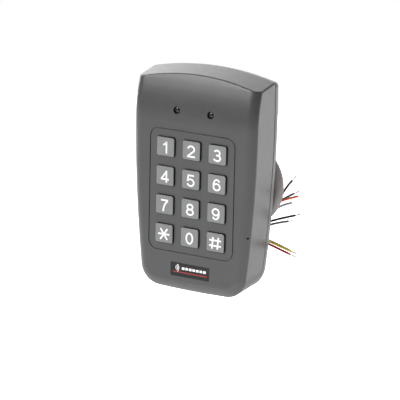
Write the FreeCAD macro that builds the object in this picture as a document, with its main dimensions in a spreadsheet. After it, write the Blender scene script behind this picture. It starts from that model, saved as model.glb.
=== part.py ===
import FreeCAD, Part
import math
import os
import Sketcher

# Wall-mounted proximity card reader with a twelve-key pad.
# Row frame, in millimetres: the wall face lies on Y = 0, the front looks along -Y,
# +Z is up and X = 0 is the plane of symmetry.  A "depth" is a distance from the
# wall towards the front, so it is the negative of Y.

V = FreeCAD.Vector
WALL_TO_FRONT = V(0, -1, 0)

doc = FreeCAD.newDocument("CardReader")

SIZES = {
    # outline of the housing, seen from the front
    "half_width": (37.85, "half of the widest width"),
    "side_arc": (738.0, "radius of the bowed side walls"),
    "widest_height": (36.7, "height at which the housing is widest"),
    "base_height": (-61.1, "lowest point of the housing"),
    "base_arc": (560.0, "radius of the bottom wall"),
    "base_corner": (16.0, "radius of the two bottom corners at the rear"),
    "base_corner_front": (12.0, "radius of the two bottom corners at the front"),
    "crown_arc": (151.0, "radius of the arched top"),
    "crown_rear": (60.8, "top of the arch at the rear edge of the cover"),
    "crown_front": (57.0, "top of the arch at the level of the front panel"),
    "crown_corner_rear": (1.3, "corner radius of the arch at the rear"),
    "crown_corner_front": (1.2, "corner radius of the arch at the front"),
    "crown_edge": (1.4, "rounding of the front edge of the arched top"),
    "rear_edge": (0.5, "rounding where the cover and the wall plate meet"),
    # front surface
    "panel_depth": (24.75, "front panel, from the wall"),
    "bend_height": (32.0, "height where the front starts to lean back"),
    "bend_arc": (65.0, "radius of the leaning front"),
    "roll_arc": (6.07, "radius of the rounded band along sides and bottom"),
    "roll_offset": (0.57, "how far that band aims outside the side walls"),
    # wall plate
    "plate_thick": (3.0, "visible edge of the wall plate"),
    "plate_floor": (2.0, "floor of the wall plate inside its rim"),
    "plate_crown": (60.1, "top of the wall plate's arch"),
    "plate_rim": (1.8, "width of the rim of the wall plate"),
    "lock_depth": (10.6, "axis of the locking screw, from the wall"),
    "lug_height": (-54.2, "middle of the lug that the locking screw enters"),
    "cable_hole": (12.0, "diameter of the cable hole in the wall plate"),
    "cable_height": (27.0, "height of the cable exit"),
    "slot_width": (4.2, "width of the wall screw slots"),
    "slot_length": (8.0, "end-to-end length of the wall screw slots"),
    "box_spacing": (83.3, "upright spacing of a single-gang box"),
    "wall_spacing": (60.0, "level spacing of a round flush box"),
    # cover
    "cover_back": (3.6, "rear edge of the front cover, from the wall"),
    "ledge_depth": (7.2, "ledge that the gasket sits on"),
    "wall": (3.4, "thickness of the side walls"),
    "rear_wall": (1.8, "thickness of the side walls behind the ledge"),
    "panel_wall": (2.2, "thickness of the front panel"),
    "boss_radius": (3.5, "screw boss"),
    "boss_end": (6.45, "rear end of the screw bosses"),
    "pilot": (2.6, "diameter of the screw holes in the bosses"),
    # keys
    "pitch": (16.0, "key pitch, both ways"),
    "pad_height": (-6.0, "height of the middle of the key pad"),
    "key_width": (10.7, "width of a key"),
    "key_height": (10.2, "height of a key"),
    "key_corner": (1.0, "corner radius of a key"),
    "key_top": (26.0, "top of a key, from the wall"),
    "key_gap": (0.3, "gap around a key"),
    "key_edge": (0.35, "rounding of a key's top edge"),
    "flange_top": (22.45, "front of a key's retaining flange"),
    "flange_thick": (0.9, "thickness of a key's flange"),
    "flange_rim": (0.95, "how far the flange stands out of the key"),
    "border_width": (52.2, "width of the line around the keys"),
    "border_height": (67.2, "height of the line around the keys"),
    "border_corner": (4.8, "corner radius of that line"),
    "border_line": (0.6, "width of the groove"),
    "border_deep": (0.5, "depth of the groove"),
    # indicators and badge
    "lamp_offset": (10.4, "distance of an indicator from the centre"),
    "lamp_height": (38.4, "height of the indicators"),
    "lamp_hole": (4.1, "diameter of an indicator hole"),
    "badge_width": (24.0, "width of the badge"),
    "badge_tall": (7.4, "height of the badge"),
    "badge_height": (-49.1, "height of the badge's middle"),
    "badge_deep": (0.7, "depth of the badge's recess"),
    # rear cover and gasket
    "rear_back": (4.2, "rear face of the rear cover"),
    "rear_front": (6.4, "front face of the rear cover"),
    # electronics
    "board_back": (16.5, "rear face of the circuit board"),
    "board_front": (18.1, "front face of the circuit board"),
    "board_width": (55.0, "width of the circuit board"),
    "board_tall": (89.0, "height of the circuit board"),
    "board_height": (-2.0, "height of the board's middle"),
    "mat_front": (19.1, "front of the key mat's web"),
    "dome_top": (20.3, "top of the key mat's domes"),
    # cable
    "cable": (5.8, "outer diameter of the jacket"),
    "core": (1.25, "outer diameter of an insulated conductor"),
    "tip": (0.75, "diameter of a bare conductor"),
    "coil_x": (2.9, "middle of the coil, sideways"),
    "coil_z": (-7.0, "middle of the coil, upright"),
    "coil_arc": (19.5, "radius of the coil's centre line"),
    "coil_near": (-8.9, "side of the coil next to the wall plate"),
    "coil_far": (-28.9, "far side of the coil"),
}

sheet = doc.addObject("Spreadsheet::Sheet", "Sizes")
for line, (alias, (value, note)) in enumerate(SIZES.items(), start=1):
    sheet.set(f"A{line}", note)
    sheet.set(f"B{line}", str(value))
    sheet.setAlias(f"B{line}", alias)
doc.recompute()

parts = {}


def size(expression):
    """Value of an expression over the sheet's cells, in millimetres."""
    return float(sheet.evalExpression(expression.replace("Sizes.", "")))


def keep(thing, label):
    """Give a finished sub-part its name and list it for export."""
    thing.Label = label
    parts[label] = thing
    return thing


# ---------------------------------------------------------------- sketching

def new_body(name):
    return doc.addObject("PartDesign::Body", name)


def plane(body, role):
    return next(o for o in body.Origin.OriginFeatures if o.Role == role)


def new_sketch(body, depth, role="XZ_Plane"):
    """Empty sketch parallel to an origin plane; on XZ it lies at a depth from the wall."""
    sketch = body.newObject("Sketcher::SketchObject", f"{body.Name}_sketch")
    sketch.AttachmentSupport = (plane(body, role), "")
    sketch.MapMode = "FlatFace"
    sketch.setExpression("AttachmentOffset.Base.z", depth)
    return sketch


def bind(sketch, kind, *where, value):
    """Add a driving dimension and bind it to an expression."""
    index = sketch.addConstraint(Sketcher.Constraint(kind, *where, size(value)))
    sketch.setExpression(f"Constraints[{index}]", value)


def add_circle(sketch, diameter, x="0", z="0"):
    centre = V(size(x), size(z), 0)
    circle = sketch.addGeometry(Part.Circle(centre, V(0, 0, 1), size(diameter) / 2))
    bind(sketch, "Diameter", circle, value=diameter)
    bind(sketch, "DistanceX", -1, 1, circle, 3, value=x)
    bind(sketch, "DistanceY", -1, 1, circle, 3, value=z)


def add_rectangle(sketch, width, tall, corner, x="0", z="0"):
    """Rounded rectangle about (x, z), every size an expression."""
    width, tall, corner = f"({width})", f"({tall})", f"({corner})"
    half_w, half_t, radius = size(width) / 2, size(tall) / 2, size(corner)
    mid = V(size(x), size(z), 0)
    first = sketch.GeometryCount
    quarter = math.pi / 2
    centres = [V(half_w - radius, half_t - radius, 0), V(radius - half_w, half_t - radius, 0),
               V(radius - half_w, radius - half_t, 0), V(half_w - radius, radius - half_t, 0)]
    for turn, centre in enumerate(centres):
        circle = Part.Circle(mid + centre, V(0, 0, 1), radius)
        arc = Part.ArcOfCircle(circle, turn * quarter, (turn + 1) * quarter)
        after = centres[(turn + 1) % 4]
        side = V(math.cos((turn + 1) * quarter), math.sin((turn + 1) * quarter), 0) * radius
        sketch.addGeometry(arc)
        sketch.addGeometry(Part.LineSegment(mid + centre + side, mid + after + side))
    for edge in range(8):
        following = first + (edge + 1) % 8
        sketch.addConstraint(Sketcher.Constraint("Tangent", first + edge, 2, following, 1))
    for arc in (2, 4, 6):
        sketch.addConstraint(Sketcher.Constraint("Equal", first, first + arc))
    for level in (1, 5):
        sketch.addConstraint(Sketcher.Constraint("Horizontal", first + level))
        sketch.addConstraint(Sketcher.Constraint("Vertical", first + level + 2))
    bind(sketch, "Radius", first, value=corner)
    bind(sketch, "DistanceX", first + 2, 3, first, 3, value=f"{width} - 2 * {corner}")
    bind(sketch, "DistanceY", first + 4, 3, first + 2, 3, value=f"{tall} - 2 * {corner}")
    bind(sketch, "DistanceX", -1, 1, first, 3, value=f"{x} + {width} / 2 - {corner}")
    bind(sketch, "DistanceY", -1, 1, first, 3, value=f"{z} + {tall} / 2 - {corner}")


def add_slot(sketch, width, length, upright, x, z):
    """Slot with round ends about (x, z), upright or level."""
    reach = (size(length) - size(width)) / 2
    radius = size(width) / 2
    along = V(0, 1, 0) if upright else V(1, 0, 0)
    across = V(along.y, -along.x, 0)
    mid = V(size(x), size(z), 0)
    first = sketch.GeometryCount
    start = math.atan2(across.y, across.x)
    for sign, turn in ((1, 0), (-1, math.pi)):
        circle = Part.Circle(mid + along * reach * sign, V(0, 0, 1), radius)
        sketch.addGeometry(Part.ArcOfCircle(circle, start + turn, start + turn + math.pi))
        side = mid - across * radius * sign
        sketch.addGeometry(Part.LineSegment(side + along * reach * sign, side - along * reach * sign))
    for edge in range(4):
        following = first + (edge + 1) % 4
        sketch.addConstraint(Sketcher.Constraint("Tangent", first + edge, 2, following, 1))
    sketch.addConstraint(Sketcher.Constraint("Equal", first, first + 2))
    sketch.addConstraint(Sketcher.Constraint("Vertical" if upright else "Horizontal", first + 1))
    bind(sketch, "Radius", first, value=f"{width} / 2")
    gap = f"({length} - {width}) / 2"
    shift_x, shift_z = ("0", gap) if upright else (gap, "0")
    bind(sketch, "DistanceX", -1, 1, first, 3, value=f"{x} + {shift_x}")
    bind(sketch, "DistanceY", -1, 1, first, 3, value=f"{z} + {shift_z}")
    bind(sketch, "DistanceY" if upright else "DistanceX", first + 2, 3, first, 3,
         value=f"{length} - {width}")


def corner_centre(first, first_gap, second, second_gap, toward):
    """Point at given distances from two centres, on the side that 'toward' names."""
    base = second - first
    span = base.Length
    along = (first_gap ** 2 - second_gap ** 2 + span ** 2) / (2 * span)
    across = math.sqrt(first_gap ** 2 - along ** 2)
    unit = base / span
    normal = V(-unit.y, unit.x, 0)
    foot = first + unit * along
    options = [foot + normal * across, foot - normal * across]
    return min(options, key=lambda point: (point - toward).Length)


def add_outline(sketch, inset="0", crown="Sizes.crown_rear", corner="Sizes.crown_corner_rear",
                base_corner="Sizes.base_corner"):
    """Outline of the housing: eight tangent arcs, drawn inside the outer one by 'inset'."""
    side = f"Sizes.side_arc - ({inset})"
    base = f"Sizes.base_arc - ({inset})"
    arch = f"Sizes.crown_arc - ({inset})"
    low_corner = f"{base_corner} - ({inset})"
    side_x = "Sizes.half_width - Sizes.side_arc"
    base_z = "Sizes.base_height + Sizes.base_arc"
    arch_z = f"{crown} - Sizes.crown_arc"
    right = V(size(side_x), size("Sizes.widest_height"), 0)
    left = V(-right.x, right.y, 0)
    low = V(0, size(base_z), 0)
    high = V(0, size(arch_z), 0)
    rs, rb, rt = size(side), size(base), size(arch)
    rc, rk = size(low_corner), size(corner)
    top_right = corner_centre(right, rs - rk, high, rt - rk, V(38, 58, 0))
    low_right = corner_centre(right, rs - rc, low, rb - rc, V(30, -55, 0))

    def mirrored(point):
        return V(-point.x, point.y, 0)

    def angle(centre, point):
        return math.atan2(point.y - centre.y, point.x - centre.x)

    up, down = angle(right, top_right), angle(right, low_right)
    crest, foot = angle(high, top_right), angle(low, low_right)
    arcs = [(right, rs, down, up),
            (top_right, rk, up, crest),
            (high, rt, crest, math.pi - crest),
            (mirrored(top_right), rk, math.pi - crest, math.pi - up),
            (left, rs, math.pi - up, math.pi - down),
            (mirrored(low_right), rc, math.pi - down, -math.pi - foot + 2 * math.pi),
            (low, rb, -math.pi - foot, foot),
            (low_right, rc, foot, down)]
    for centre, radius, start, end in arcs:
        sketch.addGeometry(Part.ArcOfCircle(Part.Circle(centre, V(0, 0, 1), radius), start, end))
    for index in range(8):
        sketch.addConstraint(Sketcher.Constraint("Tangent", index, 2, (index + 1) % 8, 1))
    for one, other in ((0, 4), (1, 3), (7, 5)):
        sketch.addConstraint(Sketcher.Constraint("Equal", one, other))
    sketch.addConstraint(Sketcher.Constraint("Symmetric", 0, 3, 4, 3, -2))
    sketch.addConstraint(Sketcher.Constraint("PointOnObject", 2, 3, -2))
    sketch.addConstraint(Sketcher.Constraint("PointOnObject", 6, 3, -2))
    bind(sketch, "Radius", 0, value=side)
    bind(sketch, "Radius", 1, value=corner)
    bind(sketch, "Radius", 2, value=arch)
    bind(sketch, "Radius", 6, value=base)
    bind(sketch, "Radius", 7, value=low_corner)
    bind(sketch, "DistanceX", -1, 1, 0, 3, value=side_x)
    bind(sketch, "DistanceY", -1, 1, 0, 3, value="Sizes.widest_height")
    bind(sketch, "DistanceY", -1, 1, 6, 3, value=base_z)
    bind(sketch, "DistanceY", -1, 1, 2, 3, value=arch_z)


# ---------------------------------------------------------------- features

def finished(body, feature):
    body.Tip = feature
    doc.recompute()
    return feature


def pad(body, sketch, length, reverse=False):
    feature = body.newObject("PartDesign::Pad", f"{body.Name}_pad")
    feature.Profile = sketch
    feature.Reversed = reverse
    feature.setExpression("Length", length)
    return finished(body, feature)


def pocket(body, sketch, length, reverse=False):
    """Cut towards the wall from the sketch; it must remove material."""
    before = body.Shape.Volume
    feature = body.newObject("PartDesign::Pocket", f"{body.Name}_pocket")
    feature.Profile = sketch
    feature.Reversed = reverse
    feature.setExpression("Length", length)
    finished(body, feature)
    if body.Shape.Volume > before - 1e-3:
        raise RuntimeError(f"{body.Name}: a pocket removed nothing")
    return feature


def grid(body, feature, steps):
    """Repeat a feature along sketch axes: steps are (axis, count, total length)."""
    transforms = []
    multi = body.newObject("PartDesign::MultiTransform", f"{body.Name}_grid")
    multi.Originals = [feature]
    body.Tip = multi
    for axis, count, length in steps:
        pattern = body.newObject("PartDesign::LinearPattern", f"{body.Name}_row")
        pattern.Direction = (feature.Profile[0], [axis])
        pattern.Occurrences = count
        pattern.setExpression("Length", length)
        transforms.append(pattern)
    multi.Transformations = transforms
    return finished(body, multi)


def mirror(body, feature):
    """Mirror a feature to the other side of the plane of symmetry."""
    copy = body.newObject("PartDesign::Mirrored", f"{body.Name}_mirror")
    copy.Originals = [feature]
    copy.MirrorPlane = (plane(body, "YZ_Plane"), [""])
    return finished(body, copy)


def edges_at(shape, test):
    return [f"Edge{n}" for n, edge in enumerate(shape.Edges, start=1) if test(edge)]


def fillet(body, base, names, radius):
    feature = body.newObject("PartDesign::Fillet", f"{body.Name}_fillet")
    feature.Base = (base, names)
    feature.setExpression("Radius", radius)
    return finished(body, feature)


def boolean(body, kind, tool):
    feature = body.newObject("PartDesign::Boolean", f"{body.Name}_{kind.lower()}")
    feature.setObjects([tool])
    feature.Type = kind
    return finished(body, feature)


def in_plane_y(edge, y):
    return abs(edge.BoundBox.YMin - y) < 1e-4 and abs(edge.BoundBox.YMax - y) < 1e-4


# ---------------------------------------------------------------- housing

def lofted_housing(body, inset, back, front, corner_rear, corner_front):
    """Prism whose arched top leans down and whose bottom corners tighten towards the front."""
    sketches = []
    drop = "(Sizes.crown_rear - Sizes.crown_front)"
    tighten = "(Sizes.base_corner - Sizes.base_corner_front)"
    for depth, corner in ((back, corner_rear), (front, corner_front)):
        share = f"({depth} - Sizes.cover_back) / (Sizes.panel_depth - Sizes.cover_back)"
        sketch = new_sketch(body, depth)
        add_outline(sketch, inset, f"Sizes.crown_rear - {drop} * {share}", corner,
                    f"(Sizes.base_corner - {tighten} * {share})")
        sketches.append(sketch)
    loft = body.newObject("PartDesign::AdditiveLoft", f"{body.Name}_loft")
    loft.Profile = sketches[0]
    loft.Sections = [sketches[1]]
    loft.Ruled = True
    return finished(body, loft)


def lean_front(body, inset):
    """Cut away what lies in front of the panel and of the arc that it leans back along."""
    radius = size("Sizes.bend_arc") - size(inset)
    front_y = -size("Sizes.panel_depth") + size(inset)
    bend_z = size("Sizes.bend_height")
    centre = V(front_y + radius, bend_z, 0)
    sweep = math.radians(42)
    end = centre + V(-math.cos(sweep), math.sin(sweep), 0) * radius
    ahead = front_y - 20
    corners = [V(front_y, -90, 0), V(front_y, bend_z, 0), end, V(ahead, end.y, 0), V(ahead, -90, 0)]
    sketch = new_sketch(body, "0", "YZ_Plane")
    sketch.addGeometry(Part.LineSegment(corners[0], corners[1]))
    circle = Part.Circle(centre, V(0, 0, 1), radius)
    sketch.addGeometry(Part.ArcOfCircle(circle, math.pi - sweep, math.pi))
    sketch.addGeometry(Part.LineSegment(corners[2], corners[3]))
    sketch.addGeometry(Part.LineSegment(corners[3], corners[4]))
    sketch.addGeometry(Part.LineSegment(corners[4], corners[0]))
    for one, one_end, other, other_end in ((1, 1, 2, 1), (2, 2, 3, 1), (3, 2, 4, 1), (4, 2, 0, 1)):
        sketch.addConstraint(Sketcher.Constraint("Coincident", one, one_end, other, other_end))
    sketch.addConstraint(Sketcher.Constraint("Tangent", 0, 2, 1, 2))
    for line in (0, 3):
        sketch.addConstraint(Sketcher.Constraint("Vertical", line))
    for line in (2, 4):
        sketch.addConstraint(Sketcher.Constraint("Horizontal", line))
    bind(sketch, "Radius", 1, value=f"Sizes.bend_arc - ({inset})")
    bind(sketch, "DistanceX", -1, 1, 0, 1, value=f"({inset}) - Sizes.panel_depth")
    bind(sketch, "DistanceY", -1, 1, 1, 3, value="Sizes.bend_height")
    bind(sketch, "DistanceY", 1, 3, 1, 1, value=f"(Sizes.bend_arc - ({inset})) * {math.sin(sweep):.4f}")
    bind(sketch, "DistanceX", 3, 1, 0, 1, value="20")
    bind(sketch, "DistanceY", 0, 1, -1, 1, value="90")
    before = body.Shape.Volume
    cut = body.newObject("PartDesign::Pocket", f"{body.Name}_lean")
    cut.Profile = sketch
    cut.Midplane = True
    cut.setExpression("Length", "4 * Sizes.half_width")
    finished(body, cut)
    if body.Shape.Volume > before - 1:
        raise RuntimeError("the leaning front removed nothing")
    return cut


def on_front(point):
    """Whether a point lies on the flat panel or on the arc that the front leans back along."""
    radius, panel = size("Sizes.bend_arc"), size("Sizes.panel_depth")
    rise = max(0.0, point.z - size("Sizes.bend_height"))
    return abs(point.y + panel - radius + math.sqrt(radius ** 2 - rise ** 2)) < 1e-3


def along_front(edge):
    return all(on_front(point) for point in edge.discretize(5))


def rolled_band_form():
    """Tool body: a taller leaning form whose front edge is rounded all the way around."""
    body = new_body("rolled_form")
    sketch = new_sketch(body, "0")
    add_outline(sketch, "-Sizes.roll_offset", "Sizes.crown_rear + 14", "9", "Sizes.base_corner_front")
    pad(body, sketch, "Sizes.panel_depth + 1")
    base = lean_front(body, "0")
    bend = size("Sizes.bend_height")

    def around_front(edge):
        seam = edge.BoundBox.ZLength < 0.01 and abs(edge.BoundBox.ZMin - bend) < 0.01
        return along_front(edge) and not seam

    fillet(body, base, edges_at(base.Shape, around_front), "Sizes.roll_arc")
    return body


def cavity_form():
    """Tool body: the hollow of the cover, with a wider step for the rear cover."""
    body = new_body("cavity_form")
    lofted_housing(body, "Sizes.wall", "Sizes.cover_back - 1", "Sizes.panel_depth", "2.0", "1.2")
    lean_front(body, "Sizes.panel_wall")
    sketch = new_sketch(body, "Sizes.cover_back - 1")
    add_outline(sketch, "Sizes.rear_wall", "Sizes.crown_rear", "1.6")
    pad(body, sketch, "Sizes.ledge_depth - Sizes.cover_back + 1")
    return body


BOSSES = {("31", "47"): "21.4", ("24.2", "-50.6"): "23"}    # right-hand cover screws, boss front
STANDOFFS = (("22.5", "35"), ("22.5", "-41"))               # right-hand board screws


def front_cover():
    roll, cavity = rolled_band_form(), cavity_form()
    body = new_body("front_cover")
    lofted_housing(body, "0", "Sizes.cover_back", "Sizes.panel_depth",
                   "Sizes.crown_corner_rear", "Sizes.crown_corner_front")
    lean_front(body, "0")
    boolean(body, "Common", roll)
    shell = boolean(body, "Cut", cavity)
    crown = size("Sizes.crown_front") - 10

    def front_of_arch(edge):
        return edge.BoundBox.ZMin > crown and edge.Length > 20 and along_front(edge)

    shell = fillet(body, shell, edges_at(shell.Shape, front_of_arch), "Sizes.crown_edge")
    back = -size("Sizes.cover_back")
    reach = size("Sizes.half_width - Sizes.rear_wall / 2")

    def outer_rear(edge):
        return in_plane_y(edge, back) and abs(edge.CenterOfMass.x) > reach

    fillet(body, shell, edges_at(shell.Shape, outer_rear), "Sizes.rear_edge")

    for (x, z), front in BOSSES.items():
        boss = new_sketch(body, "Sizes.boss_end")
        add_circle(boss, "2 * Sizes.boss_radius", x, z)
        mirror(body, pad(body, boss, f"{front} - Sizes.boss_end"))
        hole = new_sketch(body, "18")
        add_circle(hole, "Sizes.pilot", x, z)
        mirror(body, pocket(body, hole, "12"))
    for x, z in STANDOFFS:
        post = new_sketch(body, "Sizes.board_front")
        add_circle(post, "5", x, z)
        mirror(body, pad(body, post, "23 - Sizes.board_front"))
        hole = new_sketch(body, "22.2")
        add_circle(hole, "2.3", x, z)
        mirror(body, pocket(body, hole, "5"))

    window = new_sketch(body, "Sizes.panel_depth")
    add_rectangle(window, "Sizes.key_width + 2 * Sizes.key_gap", "Sizes.key_height + 2 * Sizes.key_gap",
                  "Sizes.key_corner + Sizes.key_gap", "-Sizes.pitch", "Sizes.pad_height - 1.5 * Sizes.pitch")
    opening = pocket(body, window, "Sizes.panel_wall + 1")
    grid(body, opening, (("H_Axis", 3, "2 * Sizes.pitch"), ("V_Axis", 4, "3 * Sizes.pitch")))

    line = new_sketch(body, "Sizes.panel_depth")
    for grow in ("0", "2 * Sizes.border_line"):
        add_rectangle(line, f"Sizes.border_width - Sizes.border_line + {grow}",
                      f"Sizes.border_height - Sizes.border_line + {grow}",
                      f"Sizes.border_corner + {grow} / 2", "0", "Sizes.pad_height")
    pocket(body, line, "Sizes.border_deep")

    lamp = new_sketch(body, "Sizes.panel_depth + 1")
    add_circle(lamp, "Sizes.lamp_hole", "Sizes.lamp_offset", "Sizes.lamp_height")
    mirror(body, pocket(body, lamp, "Sizes.panel_wall + 2.5"))

    recess = new_sketch(body, "Sizes.panel_depth")
    add_rectangle(recess, "Sizes.badge_width + 0.2", "Sizes.badge_tall + 0.2", "0.6", "0",
                  "Sizes.badge_height")
    pocket(body, recess, "Sizes.badge_deep")

    port = new_sketch(body, "Sizes.panel_depth + 1")
    add_circle(port, "1.1", "34.1", "-25.7")
    pocket(body, port, "5.5")

    drill = new_sketch(body, "Sizes.base_height - 1", "XY_Plane")
    add_circle(drill, "6.2", "0", "-Sizes.lock_depth")
    pocket(body, drill, "3.2", reverse=True)
    drill = new_sketch(body, "Sizes.base_height - 1", "XY_Plane")
    add_circle(drill, "3.4", "0", "-Sizes.lock_depth")
    pocket(body, drill, "6", reverse=True)
    return keep(body, "front_cover")


def mounting_plate():
    """Wall plate: a shallow tray with two hooks at the top and a lug for the locking screw."""
    body = new_body("mounting_plate")
    sketch = new_sketch(body, "0")
    add_outline(sketch, "0.1", "Sizes.plate_crown", "2.6")
    base = pad(body, sketch, "Sizes.plate_thick")
    base = fillet(body, base, edges_at(base.Shape, lambda e: in_plane_y(e, 0)), "0.5")
    top = -size("Sizes.plate_thick")
    fillet(body, base, edges_at(base.Shape, lambda e: in_plane_y(e, top)), "Sizes.rear_edge")
    tray = new_sketch(body, "Sizes.plate_thick")
    add_outline(tray, "0.1 + Sizes.plate_rim", "Sizes.plate_crown", "1.2")
    pocket(body, tray, "Sizes.plate_thick - Sizes.plate_floor")

    hole = new_sketch(body, "Sizes.plate_thick")
    add_circle(hole, "Sizes.cable_hole", "0", "Sizes.cable_height")
    pocket(body, hole, "2 * Sizes.plate_thick")
    slot = new_sketch(body, "Sizes.plate_thick")
    for side in ("", "-"):
        add_slot(slot, "Sizes.slot_width", "Sizes.slot_length", True, "0", f"{side}Sizes.box_spacing / 2")
        add_slot(slot, "Sizes.slot_width", "Sizes.slot_length", False, f"{side}Sizes.wall_spacing / 2", "0")
    pocket(body, slot, "2 * Sizes.plate_thick")

    hook = new_sketch(body, "Sizes.plate_floor")
    add_rectangle(hook, "8", "2", "0.3", "13", "49")
    mirror(body, pad(body, hook, "8.2 - Sizes.plate_floor"))
    lip = new_sketch(body, "6.8")
    add_rectangle(lip, "8", "3.6", "0.3", "13", "49.8")
    mirror(body, pad(body, lip, "1.4"))

    lug = new_sketch(body, "Sizes.plate_floor")
    add_rectangle(lug, "9", "3.2", "0.4", "0", "Sizes.lug_height")
    pad(body, lug, "13.4 - Sizes.plate_floor")
    tapped = new_sketch(body, "-52", "XY_Plane")
    add_circle(tapped, "3.1", "0", "-Sizes.lock_depth")
    pocket(body, tapped, "5")
    return keep(body, "mounting_plate")


def rear_cover():
    """Closing plate of the housing, with a closed pocket for the plate's locking lug."""
    body = new_body("rear_cover")
    sketch = new_sketch(body, "Sizes.rear_back")
    add_outline(sketch, "Sizes.rear_wall + 0.25", "Sizes.crown_rear", "1.3")
    pad(body, sketch, "Sizes.rear_front - Sizes.rear_back")
    pouch = new_sketch(body, "Sizes.rear_front")
    add_rectangle(pouch, "13", "6.4", "0.6", "0", "Sizes.lug_height")
    pad(body, pouch, "8.4")
    room = new_sketch(body, "13.8")
    add_rectangle(room, "10", "4.2", "0.4", "0", "Sizes.lug_height")
    pocket(body, room, "13.8")
    entry = new_sketch(body, "-58", "XY_Plane")
    add_circle(entry, "3.4", "0", "-Sizes.lock_depth")
    pocket(body, entry, "3", reverse=True)
    for x, z in BOSSES:
        hole = new_sketch(body, "Sizes.rear_front")
        add_circle(hole, "3.0", x, z)
        mirror(body, pocket(body, hole, "5"))
        seat = new_sketch(body, "Sizes.rear_back + 1.1")
        add_circle(seat, "5.4", x, z)
        mirror(body, pocket(body, seat, "2"))
    slot = new_sketch(body, "Sizes.rear_front")
    add_rectangle(slot, "8.8", "4.8", "0.4", "13", "49.8")
    mirror(body, pocket(body, slot, "5"))
    gland = new_sketch(body, "Sizes.rear_front")
    add_circle(gland, "9", "0", "Sizes.cable_height")
    pocket(body, gland, "5")
    sight = new_sketch(body, "Sizes.rear_front")
    add_circle(sight, "3.2", "-22", "24")
    pocket(body, sight, "5")
    return keep(body, "rear_cover")


def gasket():
    body = new_body("gasket")
    sketch = new_sketch(body, "Sizes.rear_front + 0.05")
    add_outline(sketch, "2.0", "Sizes.crown_rear", "1.5")
    pad(body, sketch, "0.7")
    inner = new_sketch(body, "Sizes.ledge_depth")
    add_outline(inner, "3.0", "Sizes.crown_rear", "1.2")
    pocket(body, inner, "2")
    return keep(body, "gasket")


# ---------------------------------------------------------------- keys

KEYS = ("1", "2", "3", "4", "5", "6", "7", "8", "9", "star", "0", "hash")


def key(name, column, row):
    """Key cap with a retaining flange behind the cover and a short plunger."""
    body = new_body(f"key_{name}")
    cap = new_sketch(body, "Sizes.flange_top - Sizes.flange_thick")
    add_rectangle(cap, "Sizes.key_width", "Sizes.key_height", "Sizes.key_corner")
    raised = pad(body, cap, "Sizes.key_top - Sizes.flange_top + Sizes.flange_thick")
    top = -size("Sizes.key_top")
    fillet(body, raised, edges_at(raised.Shape, lambda e: in_plane_y(e, top)), "Sizes.key_edge")
    flange = new_sketch(body, "Sizes.flange_top - Sizes.flange_thick")
    add_rectangle(flange, "Sizes.key_width + 2 * Sizes.flange_rim",
                  "Sizes.key_height + 2 * Sizes.flange_rim", "Sizes.key_corner + Sizes.flange_rim")
    pad(body, flange, "Sizes.flange_thick")
    plunger = new_sketch(body, "Sizes.dome_top + 0.05")
    add_circle(plunger, "5")
    pad(body, plunger, "Sizes.flange_top - Sizes.flange_thick - Sizes.dome_top - 0.05")
    body.setExpression("Placement.Base.x", f"Sizes.pitch * {column - 1}")
    body.setExpression("Placement.Base.z", f"Sizes.pad_height + Sizes.pitch * {1.5 - row}")
    return keep(body, f"key_{name}")


def key_mat():
    """Silicone mat with one hollow dome under each key."""
    body = new_body("key_mat")
    web = new_sketch(body, "Sizes.board_front")
    add_rectangle(web, "49.6", "63.6", "3", "0", "Sizes.pad_height")
    pad(body, web, "Sizes.mat_front - Sizes.board_front")
    steps = (("H_Axis", 3, "2 * Sizes.pitch"), ("V_Axis", 4, "3 * Sizes.pitch"))
    corner_x, corner_z = "-Sizes.pitch", "Sizes.pad_height - 1.5 * Sizes.pitch"
    dome = new_sketch(body, "Sizes.mat_front")
    add_circle(dome, "7.4", corner_x, corner_z)
    grid(body, pad(body, dome, "Sizes.dome_top - Sizes.mat_front"), steps)
    hollow = new_sketch(body, "Sizes.dome_top - 0.7")
    add_circle(hollow, "5.8", corner_x, corner_z)
    add_circle(hollow, "3", corner_x, corner_z)
    grid(body, pocket(body, hollow, "2"), steps)
    puck = new_sketch(body, "Sizes.board_front + 0.9")
    add_circle(puck, "3", corner_x, corner_z)
    grid(body, pocket(body, puck, "2"), steps)
    return keep(body, "key_mat")


# ---------------------------------------------------------------- electronics

def box(name, width, deep, tall, x, depth, z):
    """Box centred on (x, z) whose rear face lies at 'depth' from the wall."""
    block = doc.addObject("Part::Box", name)
    for prop, value in (("Length", width), ("Width", deep), ("Height", tall),
                        ("Placement.Base.x", f"({x}) - ({width}) / 2"),
                        ("Placement.Base.y", f"-({depth}) - ({deep})"),
                        ("Placement.Base.z", f"({z}) - ({tall}) / 2")):
        block.setExpression(prop, value)
    return block


def rod(name, diameter, length, x, depth, z):
    """Cylinder that runs from 'depth' towards the front."""
    post = doc.addObject("Part::Cylinder", name)
    post.Placement = FreeCAD.Placement(V(), FreeCAD.Rotation(V(0, 0, 1), WALL_TO_FRONT))
    for prop, value in (("Radius", f"({diameter}) / 2"), ("Height", length),
                        ("Placement.Base.x", x), ("Placement.Base.y", f"-({depth})"),
                        ("Placement.Base.z", z)):
        post.setExpression(prop, value)
    return post


def fused(name, shapes):
    joined = doc.addObject("Part::MultiFuse", name)
    joined.Shapes = shapes
    joined.Refine = True
    return joined


def grouped(name, shapes):
    group = doc.addObject("Part::Compound", name)
    group.Links = shapes
    return group


def circuit_board():
    body = new_body("circuit_board")
    sketch = new_sketch(body, "Sizes.board_back")
    add_rectangle(sketch, "Sizes.board_width", "Sizes.board_tall", "2", "0", "Sizes.board_height")
    pad(body, sketch, "Sizes.board_front - Sizes.board_back")
    for x, z in STANDOFFS:
        hole = new_sketch(body, "Sizes.board_front")
        add_circle(hole, "2.6", x, z)
        mirror(body, pocket(body, hole, "3"))
    return keep(body, "circuit_board")


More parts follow.
